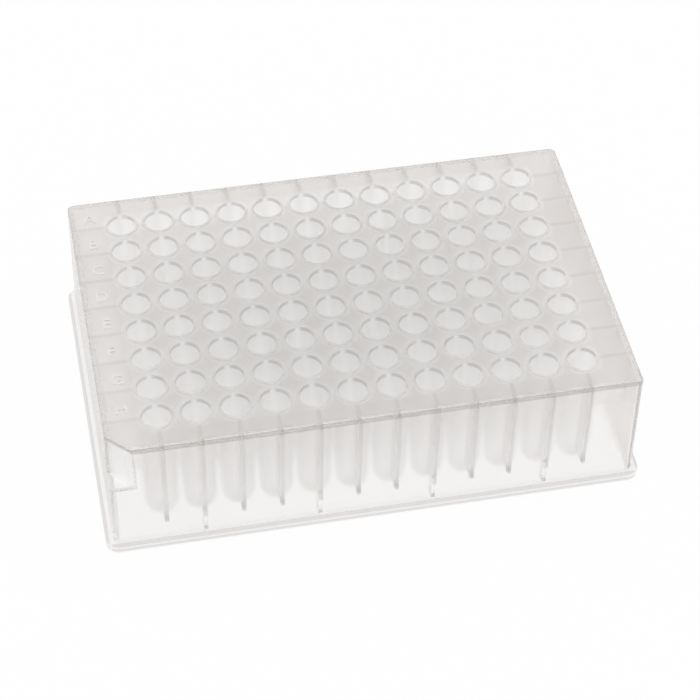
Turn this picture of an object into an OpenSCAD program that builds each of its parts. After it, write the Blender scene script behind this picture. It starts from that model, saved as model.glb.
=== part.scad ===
// Deep well plate: 96 round wells with hemispherical floors, moulded in one piece.
// Millimetres. The origin is the centre of the base plane, +X runs along a row of
// twelve wells, +Y from the last row to the first, and +Z up.

/* [Well grid] */
// Number of wells along a row
cols = 12; // [6:1:24]
// Number of rows
rows = 8; // [4:1:16]
// Distance between neighbouring well centres
pitch = 9; // [8.6:0.1:14]
// Distance from the end of the base to the centres of the first column
end_to_well = 14.38; // [12:0.01:20]
// Distance from the side of the base to the centres of the first row
side_to_well = 11.24; // [10.5:0.01:18]

/* [Body] */
// Height of the deck above the base plane
deck_z = 32.8; // [20:0.1:60]
// Thickness of the deck
deck_t = 1; // [0.8:0.1:2]
// Thickness of the outer walls
wall_t = 1.2; // [0.8:0.1:1.4]
// How far the ends of the deck stand in from the ends of the base
deck_in_end = 2.02; // [1.6:0.01:3]
// How far the sides of the deck stand in from the sides of the base
deck_in_side = 1.74; // [1.6:0.01:3]
// Spread of each outer wall from the deck down to the base plane
draft = 0.36; // [0.1:0.01:0.6]
// Plan radius of the body's upright corners at the deck
corner_r = 1.5; // [1.5:0.1:4]
// Radius of the edges inside the body and the recess underneath
core_edge = 0.2; // [0.1:0.1:0.3]
// Radius of the edge around the deck
deck_edge = 0.5; // [0.1:0.1:1]

/* [Base] */
// Height of the base flange
flange_h = 2.5; // [1.8:0.1:6]
// Plan radius of the flange's corners
flange_r = 3.2; // [2:0.1:6]
// Radius of the flange's upper edge
flange_edge = 0.5; // [0.1:0.1:1]
// Depth of the recess underneath that takes the deck of the plate below
stack_h = 1.5; // [0.5:0.1:1.6]
// Clearance around a deck that sits in the recess
stack_gap = 0.2; // [0.1:0.05:0.3]

/* [Wells] */
// Bore of a well at its rim
bore_d = 6.9; // [5:0.1:7.2]
// Wall thickness of a well, at its sides and its floor
tube_t = 0.55; // [0.4:0.05:0.65]
// Taper of a well's radius from the rim down to its round floor
tube_taper = 0.12; // [0.05:0.01:0.3]
// Height of the sealing rims above the deck
rim_h = 0.45; // [0.2:0.05:1]
// Bevel on the rims' inner and outer edges
lip = 0.15; // [0.05:0.05:0.2]
// Height of the wells' lowest points above the base plane
well_foot = 1.7; // [0.5:0.1:5]

/* [Webs] */
// Thickness of the webs between the wells and out to the walls
web_t = 0.9; // [0.6:0.1:1.4]
// Depth, below the top of the deck, of the webs along the rows
row_web_h = 15.5; // [4:0.1:18]
// Height, above the base plane, of the lower edges of the webs along the columns
col_web_foot = 7.1; // [3:0.1:12]
// Column, counted from one, of the first stiffener on each long wall
stiffener_first = 2; // [1:1:3]
// Number of columns from one stiffener to the next
stiffener_step = 3; // [2:1:6]
// How far a stiffener stands in from the wall
stiffener_w = 2.2; // [1:0.1:3]

/* [Keyed corner] */
// Length of the cut along each deck edge
key_leg = 5.5; // [3:0.1:8]
// Depth of the cut's ledge below the top of the deck
key_h = 12.3; // [4:0.1:16]

/* [Hidden] */
$fn = 64;
eps = 0.5;
natural_polypropylene = "#e6e6e2";

grid_l = (cols - 1) * pitch;
grid_w = (rows - 1) * pitch;
base_l = grid_l + 2 * end_to_well;
base_w = grid_w + 2 * side_to_well;
half_l = base_l / 2 - deck_in_end;
half_w = base_w / 2 - deck_in_side;
corner_x = half_l - corner_r;
corner_y = half_w - corner_r;
ceiling_z = deck_z - deck_t;
rim_z = deck_z + rim_h;
bore_r = bore_d / 2;
floor_r = bore_r - tube_taper;
round_z = well_foot + floor_r + tube_t;
ledge_z = deck_z - key_h;

function col_x(i) = i * pitch - grid_l / 2;
function row_y(j) = grid_w / 2 - j * pitch;
// Spread of the drafted walls at a height
function spread(z) = draft * (deck_z - z) / deck_z;

// Half outline of a drafted wall whose top edge is rounded, measured from the line
// that its corner radius turns about
module wall_profile(z0, z1, r0, r1, edge) {
    polygon([
        [0, z0],
        [r0, z0],
        [r1, z1 - edge],
        [0, z1 - edge]
    ]);
    translate([0, z1 - edge])
        square([r1 - edge, edge]);
    translate([r1 - edge, z1 - edge])
        intersection() {
            circle(r = edge);
            square(edge);
        }
}

// Four-sided block with drafted walls, round upright corners and a rounded top edge.
// x and y give the lines that the corners turn about
module drafted_block(x, y, z0, z1, r0, r1, edge) {
    for (long = [false, true])
        rotate([90, 0, long ? 90 : 0])
            linear_extrude(height = 2 * (long ? x : y), center = true)
                for (side = [0, 1])
                    mirror([side, 0])
                        union() {
                            translate([0, z0])
                                square([long ? y : x, z1 - z0]);
                            translate([long ? y : x, 0])
                                wall_profile(z0, z1, r0, r1, edge);
                        }
    for (sx = [0, 1], sy = [0, 1])
        mirror([sx, 0, 0])
            mirror([0, sy, 0])
                translate([x, y, 0])
                    rotate_extrude(angle = 90)
                        wall_profile(z0, z1, r0, r1, edge);
}

// Outside of the body and its base flange
module body_outside() {
    drafted_block(
        corner_x, corner_y, flange_h, deck_z,
        corner_r + spread(flange_h), corner_r + spread(deck_z - deck_edge), deck_edge
    );
    drafted_block(
        base_l / 2 - flange_r, base_w / 2 - flange_r, 0, flange_h,
        flange_r, flange_r, flange_edge
    );
}

// Upright prism that fills the keyed corner as far as a line across it
module key_prism(leg, z0, z1) {
    margin = flange_r;
    translate([-half_l, -half_w, z0])
        linear_extrude(height = z1 - z0)
            polygon([
                [-margin, -margin],
                [leg + margin, -margin],
                [-margin, leg + margin]
            ]);
}

// Space inside the walls, short of the wall and ledge of the keyed corner
module body_inside() {
    difference() {
        drafted_block(
            corner_x, corner_y, -eps, ceiling_z,
            corner_r + spread(-eps) - wall_t, corner_r + spread(ceiling_z - core_edge) - wall_t,
            core_edge
        );
        key_prism(key_leg + wall_t * sqrt(2), ledge_z - wall_t, deck_z);
    }
}

// Recess under the flange, a clearance larger than the deck
module stacking_recess() {
    drafted_block(
        corner_x, corner_y, -eps, stack_h,
        corner_r + stack_gap, corner_r + stack_gap, core_edge
    );
}

module shell() {
    difference() {
        body_outside();
        body_inside();
        stacking_recess();
        key_prism(key_leg, ledge_z, deck_z + eps);
    }
}

// Round-ended plug that fills a well, or its outside where extra is the wall
module plug(extra, top_z) {
    translate([0, 0, round_z]) {
        cylinder(h = top_z - round_z, r1 = floor_r + extra, r2 = bore_r + extra);
        sphere(r = floor_r + extra);
    }
}

// Outside of one well. It stands above the deck as a sealing rim with a bevelled edge
module tube() {
    plug(tube_t, rim_z - lip);
    translate([0, 0, rim_z - lip])
        cylinder(h = lip, r1 = bore_r + tube_t, r2 = bore_r + tube_t - lip);
}

// Space inside one well, whose mouth flares at the rim
module bore() {
    plug(0, rim_z - lip);
    translate([0, 0, rim_z - lip])
        cylinder(h = 2 * lip, r1 = bore_r, r2 = bore_r + 2 * lip);
}

module at_wells() {
    for (i = [0 : cols - 1], j = [0 : rows - 1])
        translate([col_x(i), row_y(j), 0])
            children();
}

// Webs along the rows and the columns, which end inside the walls and the deck
module webs() {
    top_z = deck_z - deck_t / 2;
    reach_x = half_l - wall_t / 2;
    reach_y = half_w - wall_t / 2;
    for (j = [0 : rows - 1])
        translate([-reach_x, row_y(j) - web_t / 2, deck_z - row_web_h])
            cube([2 * reach_x, web_t, top_z - (deck_z - row_web_h)]);
    for (i = [0 : cols - 1])
        translate([col_x(i) - web_t / 2, -reach_y, col_web_foot])
            cube([web_t, 2 * reach_y, top_z - col_web_foot]);
}

// Stiffeners that carry every third column web down the long walls
module stiffeners() {
    reach_y = half_w - wall_t / 2;
    inner_y = half_w - wall_t - stiffener_w;
    top_z = col_web_foot + web_t;
    for (i = [stiffener_first - 1 : stiffener_step : cols - 1], side = [0, 1])
        mirror([0, side, 0])
            translate([col_x(i) - web_t / 2, -reach_y, stack_h])
                cube([web_t, reach_y - inner_y, top_z - stack_h]);
}

module well_plate() {
    color(natural_polypropylene)
        difference() {
            union() {
                shell();
                webs();
                stiffeners();
                at_wells() tube();
            }
            at_wells() bore();
        }
}

well_plate();
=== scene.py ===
"""Deep well plate in natural polypropylene, with its finish, its raised row letters,
and a stage to show it on."""

import bmesh
import bpy
from bpy.props import FloatProperty, FloatVectorProperty, IntProperty, PointerProperty
from mathutils import Matrix, Vector


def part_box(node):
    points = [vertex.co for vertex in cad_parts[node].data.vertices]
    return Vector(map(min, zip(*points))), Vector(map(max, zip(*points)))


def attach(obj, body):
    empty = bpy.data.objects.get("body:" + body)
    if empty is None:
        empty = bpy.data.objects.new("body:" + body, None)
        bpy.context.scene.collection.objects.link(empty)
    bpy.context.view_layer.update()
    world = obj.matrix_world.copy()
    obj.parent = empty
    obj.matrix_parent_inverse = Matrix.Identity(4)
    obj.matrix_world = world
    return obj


bl_info = {
    "name": "Deep Well Plate",
    "version": (1, 0, 0),
    "blender": (4, 5, 0),
    "location": "3D View > Sidebar > Well Plate",
    "description": "Finishes and letters a deep well plate, and sets it on a studio floor",
    "category": "Object",
}

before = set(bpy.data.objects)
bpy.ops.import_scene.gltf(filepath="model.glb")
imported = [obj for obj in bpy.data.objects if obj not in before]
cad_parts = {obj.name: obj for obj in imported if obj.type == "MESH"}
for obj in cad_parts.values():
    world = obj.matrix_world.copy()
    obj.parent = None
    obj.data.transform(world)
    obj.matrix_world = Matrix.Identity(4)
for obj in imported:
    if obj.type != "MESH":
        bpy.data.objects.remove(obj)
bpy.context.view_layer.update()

PLATE = "well_plate"
PLASTIC = "natural_polypropylene"
ROWS = "ABCDEFGH"

# Half the base's length and width, and the heights of the rims' tops and of the deck
HALF_LENGTH, HALF_WIDTH, RIM_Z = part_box(PLATE)[1]
RIM_HEIGHT = 0.00045
DECK_Z = RIM_Z - RIM_HEIGHT

# The grid of wells, and how far its outer columns and rows lie from the middle
PITCH = 0.009
LAST_COLUMN = 5.5 * PITCH
LAST_ROW = 3.5 * PITCH

# Lowest and highest level of each layer of painted shade and of its lines, measured from the top
# of the deck
DECK_LAYER = (-0.0012, 0.00005)
RIM_LAYER = (0.00005, 0.001)
BASE_LAYER = (-0.033, -0.0302)
MOUTH_LAYER = (-0.0008, 0.0003)
SEAM_LAYER = (-0.0257, -0.0009)
TIP_LAYER = (-0.0257, -0.0235)
BROW_LAYER = (-0.0009, 0.0001)
KEY_LAYER = (-0.0007, 0.001)
UPPER_FOLD_LAYER = (-0.0308, -0.0302)
LOWER_FOLD_LAYER = (-0.0324, -0.0316)

# Distances from a well's axis to the wall of its bore and to the ring of painted light around
# its rim
BORE_RADIUS = 0.0036
RING_RADIUS = 0.0043
RING_HALF_WIDTH = 0.0004

# Distances from the middle of a web over which the web and the notch in a mouth fade out
WEB_FADE = (0.0004, 0.0006)
NOTCH_FADE = (0.0002, 0.0009)

# Distances from the outer wells' axes to where the margins, the pads and the front start
MARGIN_BY_COLUMN = 0.004
MARGIN_BY_ROW = 0.0042
PAD_BY_COLUMN = 0.005
FRONT_BY_ROW = 0.005

# How far the walls, the brows and the folds reach in from the outline of the base
WALL_DEPTH = 0.0034
BROW_END_DEPTH = 0.00255
BROW_SIDE_DEPTH = 0.00227
FOLD_DEPTH = 0.0008

# Distance of the keyed corner's facet from the corner of the base, both axes added up
KEY_REACH = 0.00962

# Noise cells in a metre, and the part of the noise that is used, for the clouds in the
# plastic and for the wear of its polish
CLOUD_SCALE = 90.0
CLOUD_RANGE = (0.35, 0.65)
WEAR_SCALE = 1800.0
WEAR_RANGE = (0.3, 0.7)

# Colour that thick plastic lets through
DEPTH_COLOUR = (0.12, 0.06, 0.0)

# How far a letter is sunk into the deck, and the gap below which its points are joined
LETTER_SUNK = 0.00005
LETTER_WELD = 0.000001

# Half the length of the floor's sides
FLOOR_REACH = 2.0

# The camera's place, the way it looks and the way its right side points
CAMERA_PLACE = Vector((-0.07710, -0.36284, 0.40667))
CAMERA_FORWARD = Vector((0.14486, 0.66968, -0.72838)).normalized()
CAMERA_RIGHT = Vector((0.98102, -0.19310, 0.01757)).normalized()


class PlasticSettings(bpy.types.PropertyGroup):
    """Natural polypropylene, as moulded, with painted shade laid over it by zones"""

    plain: FloatVectorProperty(
        name="Colour",
        description="Colour of the unpigmented plastic",
        subtype="COLOR",
        default=(0.9995, 0.9979, 0.9968),
        min=0.0,
        max=1.0,
    )
    cloud: FloatVectorProperty(
        name="Cloud Colour",
        description="Colour of the denser clouds in the plastic",
        subtype="COLOR",
        default=(0.997, 0.9943, 0.9924),
        min=0.0,
        max=1.0,
    )
    # Painted shade: a darker tint laid by zones on the deck, the walls, the rims and the flange,
    # for shading that falls there; the plastic itself is the same all over
    skin: FloatVectorProperty(
        name="Painted Shade Colour",
        description="Further tint of the deck, the walls and the base",
        subtype="COLOR",
        default=(0.888, 0.872, 0.86),
        min=0.0,
        max=1.0,
    )
    # Painted shade: dark lines at the mouths of the bores, where the webs meet the long walls
    # and at their feet, along the top edges of the outer walls, at the keyed corner and along
    # the flange's edges
    line: FloatVectorProperty(
        name="Line Colour",
        description="Further tint of the mouths, the seams, the brows and the folds",
        subtype="COLOR",
        default=(0.62, 0.61, 0.6),
        min=0.0,
        max=1.0,
    )
    # The shares below say how much of the painted shade each zone takes
    margin: FloatProperty(
        name="Margin Share",
        description="Further share of the skin around the outer wells",
        default=0.2,
        min=0.0,
        soft_max=3.0,
    )
    pad: FloatProperty(
        name="Pad Share",
        description="Share of the skin on the pads beside the end columns",
        default=1.1,
        min=0.0,
        soft_max=3.0,
    )
    web: FloatProperty(
        name="Web Share",
        description="Further share of the skin where a web meets the margins",
        default=0.95,
        min=0.0,
        soft_max=3.0,
    )
    rim: FloatProperty(
        name="Rim Share",
        description="Share of the skin on the sealing rims",
        default=0.4,
        min=0.0,
        soft_max=3.0,
    )
    # Painted light: a ring on the deck round each rim is left lighter, with less of the painted
    # shade
    ring: FloatProperty(
        name="Ring Share",
        description="Share of the skin that the deck lacks around each rim",
        default=0.6,
        min=0.0,
        max=1.0,
        subtype="FACTOR",
    )
    end: FloatProperty(
        name="End Share",
        description="Share of the skin on the ends",
        default=1.15,
        min=0.0,
        soft_max=3.0,
    )
    side: FloatProperty(
        name="Side Share",
        description="Share of the skin on the long walls",
        default=0.7,
        min=0.0,
        soft_max=3.0,
    )
    base: FloatProperty(
        name="Base Share",
        description="Share of the skin on the flange",
        default=1.1,
        min=0.0,
        soft_max=3.0,
    )
    fold: FloatProperty(
        name="Fold Share",
        description="Share of the line colour along the flange's edges",
        default=0.8,
        min=0.0,
        max=1.0,
        subtype="FACTOR",
    )
    mouth: FloatProperty(
        name="Mouth Share",
        description="Share of the line colour where a bore passes the deck",
        default=1.0,
        min=0.0,
        max=1.0,
        subtype="FACTOR",
    )
    seam: FloatProperty(
        name="Seam Share",
        description="Share of the line colour where a web meets a long wall",
        default=0.4,
        min=0.0,
        max=1.0,
        subtype="FACTOR",
    )
    tip: FloatProperty(
        name="Tip Share",
        description="Share of the line colour at the foot of a seam",
        default=0.8,
        min=0.0,
        max=1.0,
        subtype="FACTOR",
    )
    brow: FloatProperty(
        name="Brow Share",
        description="Share of the line colour along the top of the outer walls",
        default=1.0,
        min=0.0,
        max=1.0,
        subtype="FACTOR",
    )
    # Painted shade: the brow along the front wall is darker than along the ends and the back
    # wall
    far_brow: FloatProperty(
        name="Far Brow Share",
        description="Share of the brow that the ends and the back wall keep",
        default=0.45,
        min=0.0,
        max=1.0,
        subtype="FACTOR",
    )
    polished: FloatProperty(
        name="Polished Roughness",
        description="Least roughness of the outer walls",
        default=0.16,
        min=0.0,
        max=1.0,
        subtype="FACTOR",
    )
    worn: FloatProperty(
        name="Worn Roughness",
        description="Greatest roughness of the outer walls",
        default=0.22,
        min=0.0,
        max=1.0,
        subtype="FACTOR",
    )
    matt: FloatProperty(
        name="Matt Roughness",
        description="Roughness that the deck, the wells and the webs have beyond the walls",
        default=0.14,
        min=0.0,
        max=1.0,
        subtype="FACTOR",
    )
    ior: FloatProperty(
        name="IOR",
        description="Refractive index of the plastic",
        default=1.49,
        min=1.0,
        max=2.0,
    )
    depth: FloatProperty(
        name="Depth",
        description="How strongly thick plastic takes up light, per metre",
        default=3.5,
        min=0.0,
        soft_max=100.0,
    )


class LetterSettings(bpy.types.PropertyGroup):
    """Raised letters that name the rows"""

    height: FloatProperty(
        name="Height",
        description="Height of a letter",
        default=0.003,
        min=0.001,
        max=0.005,
        unit="LENGTH",
    )
    relief: FloatProperty(
        name="Relief",
        description="How far a letter stands above the deck",
        default=0.0003,
        min=0.0001,
        max=0.0004,
        unit="LENGTH",
    )
    inset: FloatProperty(
        name="Inset",
        description="Distance from the first column of wells to the letters",
        default=0.0075,
        min=0.006,
        max=0.009,
        unit="LENGTH",
    )
    lift: FloatProperty(
        name="Lift",
        description="Distance from a row's web to the middle of its letter",
        default=0.0035,
        min=0.002,
        max=0.0045,
        unit="LENGTH",
    )


class StageSettings(bpy.types.PropertyGroup):
    """Floor, light and camera"""

    floor: FloatVectorProperty(
        name="Floor Colour",
        description="Colour of the floor",
        subtype="COLOR",
        default=(0.97, 0.97, 0.97),
        min=0.0,
        max=1.0,
    )
    through: FloatProperty(
        name="Floor Through Plastic",
        description="Share of plain white on the floor where it is seen through the plastic",
        default=1.0,
        min=0.0,
        max=1.0,
        subtype="FACTOR",
    )
    whiteness: FloatProperty(
        name="Floor Whiteness",
        description="Share of plain white on the floor that the camera sees",
        default=0.95,
        min=0.0,
        max=1.0,
        subtype="FACTOR",
    )
    light: FloatProperty(
        name="Light",
        description="Strength of the even light from all round",
        default=0.94,
        min=0.0,
        soft_max=2.0,
    )
    bounces: IntProperty(
        name="Bounces",
        description="How often light may turn on its way through the wells",
        default=40,
        min=4,
        soft_max=64,
    )
    lens: FloatProperty(
        name="Focal Length",
        description="Focal length of the camera",
        default=114.05,
        min=20.0,
        soft_max=300.0,
        unit="CAMERA",
    )


def new_tree(data):
    """The emptied node tree of a material or world"""
    data.use_nodes = True
    data.node_tree.nodes.clear()
    return data.node_tree


def calc(tree, operation, *values):
    """The result of a new Math node on sockets or plain values"""
    node = tree.nodes.new("ShaderNodeMath")
    node.operation = operation
    for socket, value in zip(node.inputs, values):
        if isinstance(value, bpy.types.NodeSocket):
            tree.links.new(value, socket)
        else:
            socket.default_value = value
    return node.outputs["Value"]


def ramp(tree, value, low, high, low_result=0.0, high_result=1.0):
    """A value mapped from one range to another"""
    node = tree.nodes.new("ShaderNodeMapRange")
    tree.links.new(value, node.inputs["Value"])
    node.inputs["From Min"].default_value = low
    node.inputs["From Max"].default_value = high
    node.inputs["To Min"].default_value = low_result
    node.inputs["To Max"].default_value = high_result
    return node.outputs["Result"]


def tinted(tree, base, tint, share):
    """A colour multiplied by a tint, as far as a share says"""
    node = tree.nodes.new("ShaderNodeMix")
    node.data_type = "RGBA"
    node.blend_type = "MULTIPLY"
    node.clamp_factor = False
    # A Mix node has sockets for each type of data, and these are the ones for colours
    factor, first, second = (node.inputs[index] for index in (0, 6, 7))
    tree.links.new(share, factor)
    tree.links.new(base, first)
    second.default_value = (*tint, 1.0)
    return node.outputs[2]


def noise(tree, where, scale):
    """A smooth noise on Object coordinates"""
    node = tree.nodes.new("ShaderNodeTexNoise")
    node.inputs["Scale"].default_value = scale
    node.inputs["Detail"].default_value = 0.0
    tree.links.new(where, node.inputs["Vector"])
    return node.outputs["Fac"]


def plastic_shares(tree, where, settings):
    """How far each place takes the painted shade's colour and the painted shade lines' colour,
    and where it is matt
    """
    axes = tree.nodes.new("ShaderNodeSeparateXYZ")
    tree.links.new(where, axes.inputs["Vector"])
    x, y, z = axes.outputs
    far_x = calc(tree, "ABSOLUTE", x)
    far_y = calc(tree, "ABSOLUTE", y)

    def both(first, second):
        """Product of two masks or shares"""
        return calc(tree, "MULTIPLY", first, second)

    def either(first, *others):
        """The largest of some masks or shares"""
        for other in others:
            first = calc(tree, "MAXIMUM", first, other)
        return first

    def beyond(far, limit):
        """Mask of the places farther out than a limit"""
        return calc(tree, "GREATER_THAN", far, limit)

    def outside(end_depth, side_depth):
        """Mask of the places near the outline of the base, by their depths behind it"""
        near_end = beyond(far_x, HALF_LENGTH - end_depth)
        return either(near_end, beyond(far_y, HALF_WIDTH - side_depth))

    def layer(low, high):
        """Mask of the heights between two levels, measured from the top of the deck"""
        return calc(tree, "COMPARE", z, DECK_Z + (low + high) / 2, (high - low) / 2)

    def off_axis(far, last):
        """Distance from the nearest line of well centres"""
        between = calc(tree, "SUBTRACT", PITCH / 2, calc(tree, "PINGPONG", far, PITCH / 2))
        return calc(tree, "MAXIMUM", between, calc(tree, "SUBTRACT", far, last))

    off_x = off_axis(far_x, LAST_COLUMN)
    off_y = off_axis(far_y, LAST_ROW)
    radius = calc(tree, "SQRT", calc(tree, "ADD", both(off_x, off_x), both(off_y, off_y)))
    bore = calc(tree, "LESS_THAN", radius, BORE_RADIUS)
    # Painted light: the ring round each rim where the deck keeps less of the painted shade
    ring = calc(tree, "COMPARE", radius, RING_RADIUS, RING_HALF_WIDTH)
    off_web = calc(tree, "MINIMUM", off_x, off_y)
    web = ramp(tree, off_web, *WEB_FADE, 1.0, 0.0)
    ends = beyond(far_x, HALF_LENGTH - WALL_DEPTH)
    sides = beyond(far_y, HALF_WIDTH - WALL_DEPTH)
    pads = beyond(far_x, LAST_COLUMN + PAD_BY_COLUMN)
    margin = beyond(far_x, LAST_COLUMN + MARGIN_BY_COLUMN)
    margin = either(margin, beyond(far_y, LAST_ROW + MARGIN_BY_ROW))

    # Painted shade on the deck, set by zone: margins, pads and webs' feet, with less of it on a
    # ring round each rim
    deck = calc(tree, "MULTIPLY_ADD", margin, settings.margin, 1.0)
    deck = calc(tree, "MULTIPLY_ADD", pads, settings.pad - 1.0 - settings.margin, deck)
    deck = calc(tree, "MULTIPLY_ADD", both(margin, web), settings.web, deck)
    deck = calc(tree, "MULTIPLY_ADD", ring, -settings.ring, deck)
    deck = both(deck, both(layer(*DECK_LAYER), calc(tree, "SUBTRACT", 1.0, bore)))
    # Painted shade on the ends, the long walls, the deck, the rims and the flange
    skin = either(
        both(ends, settings.end),
        both(sides, settings.side),
        deck,
        both(layer(*RIM_LAYER), settings.rim),
        both(layer(*BASE_LAYER), settings.base),
    )

    # Painted shade lines: the mouths, the seams and their tips, the brows, the keyed corner's
    # facet and the flange's folds
    mouth = both(both(layer(*MOUTH_LAYER), bore), ramp(tree, off_web, *NOTCH_FADE))
    seam = both(both(sides, web), layer(*SEAM_LAYER))
    tip = both(both(sides, web), layer(*TIP_LAYER))
    # Painted shade: the brow is darkest along the front wall, and lighter on the ends and the
    # back
    front = calc(tree, "LESS_THAN", y, -LAST_ROW - FRONT_BY_ROW)
    brow = both(outside(BROW_END_DEPTH, BROW_SIDE_DEPTH), layer(*BROW_LAYER))
    brow = both(brow, ramp(tree, front, 0.0, 1.0, settings.far_brow, 1.0))
    # Painted shade on the facet of the keyed corner, in the line colour
    key = calc(tree, "LESS_THAN", calc(tree, "ADD", x, y), KEY_REACH - HALF_LENGTH - HALF_WIDTH)
    brow = either(brow, both(key, layer(*KEY_LAYER)))
    fold = either(layer(*UPPER_FOLD_LAYER), layer(*LOWER_FOLD_LAYER))
    fold = both(fold, outside(FOLD_DEPTH, FOLD_DEPTH))
    line = either(
        both(mouth, settings.mouth),
        both(seam, settings.seam),
        both(tip, settings.tip),
        both(brow, settings.brow),
        both(fold, settings.fold),
    )
    walls = calc(tree, "SUBTRACT", either(ends, sides), seam)
    return skin, line, calc(tree, "SUBTRACT", 1.0, walls)


def plastic_material(settings):
    """Clear, slightly clouded plastic, matt inside, with painted shade by zones and darker
    painted shade lines
    """
    material = bpy.data.materials.new(PLASTIC)
    tree = new_tree(material)
    where = tree.nodes.new("ShaderNodeTexCoord").outputs["Object"]
    skin, line, matt = plastic_shares(tree, where, settings)

    clouds = tree.nodes.new("ShaderNodeValToRGB")
    low, high = clouds.color_ramp.elements
    low.position, high.position = CLOUD_RANGE
    low.color, high.color = (*settings.cloud, 1.0), (*settings.plain, 1.0)
    tree.links.new(noise(tree, where, CLOUD_SCALE), clouds.inputs["Fac"])
    # Painted shade: the zones' tint, then the darker painted shade lines, multiplied into the
    # clouded colour
    shade = tinted(tree, clouds.outputs["Color"], settings.skin, skin)
    shade = tinted(tree, shade, settings.line, line)
    wear = noise(tree, where, WEAR_SCALE)
    wear = ramp(tree, wear, *WEAR_RANGE, settings.polished, settings.worn)
    roughness = calc(tree, "MULTIPLY_ADD", matt, settings.matt, wear)

    shader = tree.nodes.new("ShaderNodeBsdfPrincipled")
    shader.inputs["IOR"].default_value = settings.ior
    shader.inputs["Transmission Weight"].default_value = 1.0
    tree.links.new(shade, shader.inputs["Base Color"])
    tree.links.new(roughness, shader.inputs["Roughness"])
    depth = tree.nodes.new("ShaderNodeVolumeAbsorption")
    depth.inputs["Density"].default_value = settings.depth
    depth.inputs["Color"].default_value = (*DEPTH_COLOUR, 1.0)
    output = tree.nodes.new("ShaderNodeOutputMaterial")
    tree.links.new(shader.outputs["BSDF"], output.inputs["Surface"])
    tree.links.new(depth.outputs["Volume"], output.inputs["Volume"])
    return material


def white_light(tree, kind, strength):
    """The output of a new Emission or Background node that shines plain white"""
    node = tree.nodes.new(f"ShaderNode{kind}")
    node.inputs["Color"].default_value = (1.0, 1.0, 1.0, 1.0)
    node.inputs["Strength"].default_value = strength
    return node.outputs[kind]


def blended(tree, factor, first, second):
    """Two shaders mixed by a factor"""
    node = tree.nodes.new("ShaderNodeMixShader")
    tree.links.new(factor, node.inputs["Fac"])
    tree.links.new(first, node.inputs[1])
    tree.links.new(second, node.inputs[2])
    return node.outputs["Shader"]


def floor_material(settings):
    """A pale floor that keeps a soft shadow, and is plain white where the plastic shows it"""
    material = bpy.data.materials.new("pale_floor")
    tree = new_tree(material)
    paint = tree.nodes.new("ShaderNodeBsdfDiffuse")
    paint.inputs["Color"].default_value = (*settings.floor, 1.0)
    rays = tree.nodes.new("ShaderNodeLightPath").outputs
    through = calc(tree, "MAXIMUM", rays["Is Glossy Ray"], rays["Is Transmission Ray"])
    through = calc(tree, "MULTIPLY", through, settings.through)
    direct = calc(tree, "MULTIPLY", rays["Is Camera Ray"], settings.whiteness)
    share = calc(tree, "MAXIMUM", through, direct)
    surface = blended(tree, share, paint.outputs["BSDF"], white_light(tree, "Emission", 1.0))
    output = tree.nodes.new("ShaderNodeOutputMaterial")
    tree.links.new(surface, output.inputs["Surface"])
    return material


def soft_world(settings):
    """Even light from all round, which the camera sees as plain white"""
    world = bpy.data.worlds.new("soft_light")
    tree = new_tree(world)
    direct = tree.nodes.new("ShaderNodeLightPath").outputs["Is Camera Ray"]
    lights = [white_light(tree, "Background", strength) for strength in (settings.light, 1.0)]
    output = tree.nodes.new("ShaderNodeOutputWorld")
    tree.links.new(blended(tree, direct, *lights), output.inputs["Surface"])
    return world


def letter_mesh(letter, size, thickness):
    """A letter as the mesh of a solid"""
    text = bpy.data.curves.new(letter, "FONT")
    text.body = letter
    text.size = size
    text.resolution_u = 3
    text.extrude = thickness / 2
    maker = bpy.data.objects.new(letter, text)
    mesh = bpy.data.meshes.new_from_object(maker)
    bpy.data.objects.remove(maker)
    bpy.data.curves.remove(text)
    return mesh


# Lays the translucent plastic on the plate, with painted shade by zones, darker painted shade
# lines and a lighter painted ring round each rim
class PLATE_OT_finish(bpy.types.Operator):
    """Gives the moulded plate its translucent finish"""

    bl_idname = "plate.finish"
    bl_label = "Finish the Plate"

    def execute(self, context):
        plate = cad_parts[PLATE]
        plate.data.materials.clear()
        plate.data.materials.append(plastic_material(context.scene.plate_plastic))
        return {"FINISHED"}


class PLATE_OT_letters(bpy.types.Operator):
    """Raises a letter from the deck above the web of each row"""

    bl_idname = "plate.letters"
    bl_label = "Letter the Rows"

    def execute(self, context):
        settings = context.scene.plate_letters
        thickness = settings.relief + LETTER_SUNK
        bm = bmesh.new()
        for row, letter in enumerate(ROWS):
            mesh = letter_mesh(letter, settings.height, thickness)
            start = len(bm.verts)
            bm.from_mesh(mesh)
            bpy.data.meshes.remove(mesh)
            bm.verts.ensure_lookup_table()
            verts = bm.verts[start:]
            low = Vector([min(vert.co[axis] for vert in verts) for axis in range(3)])
            high = Vector([max(vert.co[axis] for vert in verts) for axis in range(3)])
            grow = settings.height / (high.y - low.y)
            bmesh.ops.translate(bm, verts=verts, vec=-(low + high) / 2)
            bmesh.ops.scale(bm, verts=verts, vec=(grow, grow, 1.0))
            middle = (
                -LAST_COLUMN - settings.inset,
                LAST_ROW - row * PITCH + settings.lift,
                DECK_Z + (settings.relief - LETTER_SUNK) / 2,
            )
            bmesh.ops.translate(bm, verts=verts, vec=middle)
        bmesh.ops.remove_doubles(bm, verts=bm.verts, dist=LETTER_WELD)
        bmesh.ops.recalc_face_normals(bm, faces=bm.faces)
        mesh = bpy.data.meshes.new("row_letters")
        bm.to_mesh(mesh)
        bm.free()
        letters = bpy.data.objects.new("row_letters", mesh)
        context.scene.collection.objects.link(letters)
        mesh.materials.append(bpy.data.materials[PLASTIC])
        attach(letters, "root")
        return {"FINISHED"}


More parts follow.
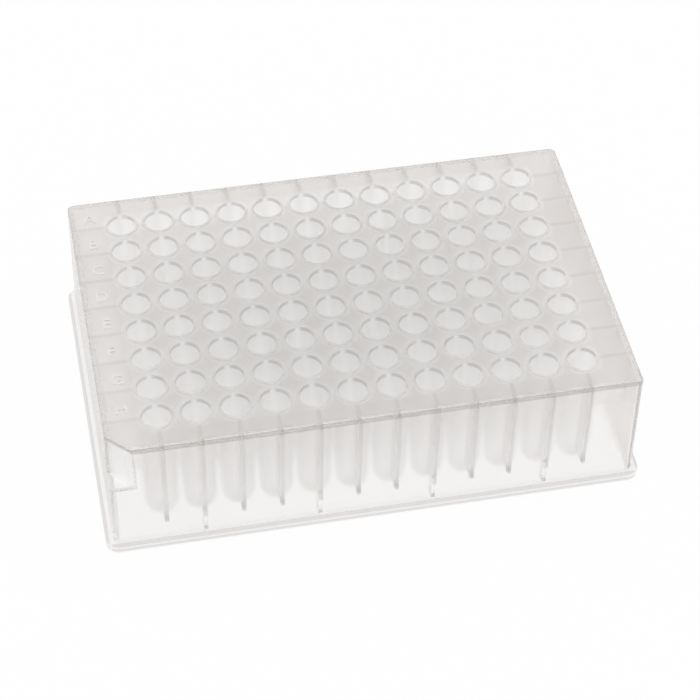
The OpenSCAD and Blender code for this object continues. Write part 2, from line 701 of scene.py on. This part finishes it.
class PLATE_OT_stage(bpy.types.Operator):
    """Sets the plate on a pale floor under soft light, and places the camera"""

    bl_idname = "plate.stage"
    bl_label = "Set the Stage"

    def execute(self, context):
        settings = context.scene.plate_stage
        scene = context.scene
        scene.view_settings.view_transform = "Standard"
        for kind in ("max", "diffuse", "glossy", "transmission"):
            setattr(scene.cycles, f"{kind}_bounces", settings.bounces)
        scene.cycles.blur_glossy = 0.0
        scene.cycles.sample_clamp_indirect = 0.0

        bm = bmesh.new()
        bmesh.ops.create_grid(bm, x_segments=1, y_segments=1, size=FLOOR_REACH)
        mesh = bpy.data.meshes.new("floor")
        bm.to_mesh(mesh)
        bm.free()
        mesh.materials.append(floor_material(settings))
        floor = bpy.data.objects.new("floor", mesh)
        scene.collection.objects.link(floor)
        scene.world = soft_world(settings)

        lens = bpy.data.cameras.new("camera")
        lens.lens = settings.lens
        lens.sensor_width = 36.0
        lens.clip_start = 0.01
        camera = bpy.data.objects.new("camera", lens)
        scene.collection.objects.link(camera)
        up = CAMERA_RIGHT.cross(CAMERA_FORWARD)
        turn = Matrix((CAMERA_RIGHT, up, -CAMERA_FORWARD)).transposed().to_4x4()
        camera.matrix_world = Matrix.Translation(CAMERA_PLACE) @ turn
        scene.camera = camera
        return {"FINISHED"}


class PLATE_PT_panel(bpy.types.Panel):
    """The plate's settings and the steps that make it"""

    bl_idname = "PLATE_PT_panel"
    bl_label = "Deep Well Plate"
    bl_space_type = "VIEW_3D"
    bl_region_type = "UI"
    bl_category = "Well Plate"

    def draw(self, context):
        for name in ("plate_plastic", "plate_letters", "plate_stage"):
            settings = getattr(context.scene, name)
            box = self.layout.box()
            for key in settings.bl_rna.properties.keys():
                if key not in ("rna_type", "name"):
                    box.prop(settings, key)
        for step in STEPS:
            self.layout.operator(step.bl_idname)


STEPS = (PLATE_OT_finish, PLATE_OT_letters, PLATE_OT_stage)
CLASSES = (PlasticSettings, LetterSettings, StageSettings, *STEPS, PLATE_PT_panel)


def register():
    for cls in CLASSES:
        bpy.utils.register_class(cls)
    bpy.types.Scene.plate_plastic = PointerProperty(type=PlasticSettings)
    bpy.types.Scene.plate_letters = PointerProperty(type=LetterSettings)
    bpy.types.Scene.plate_stage = PointerProperty(type=StageSettings)


def unregister():
    del bpy.types.Scene.plate_stage
    del bpy.types.Scene.plate_letters
    del bpy.types.Scene.plate_plastic
    for cls in reversed(CLASSES):
        bpy.utils.unregister_class(cls)


def main():
    register()
    bpy.ops.plate.finish()
    bpy.ops.plate.letters()
    bpy.ops.plate.stage()


if __name__ == "__main__":
    main()
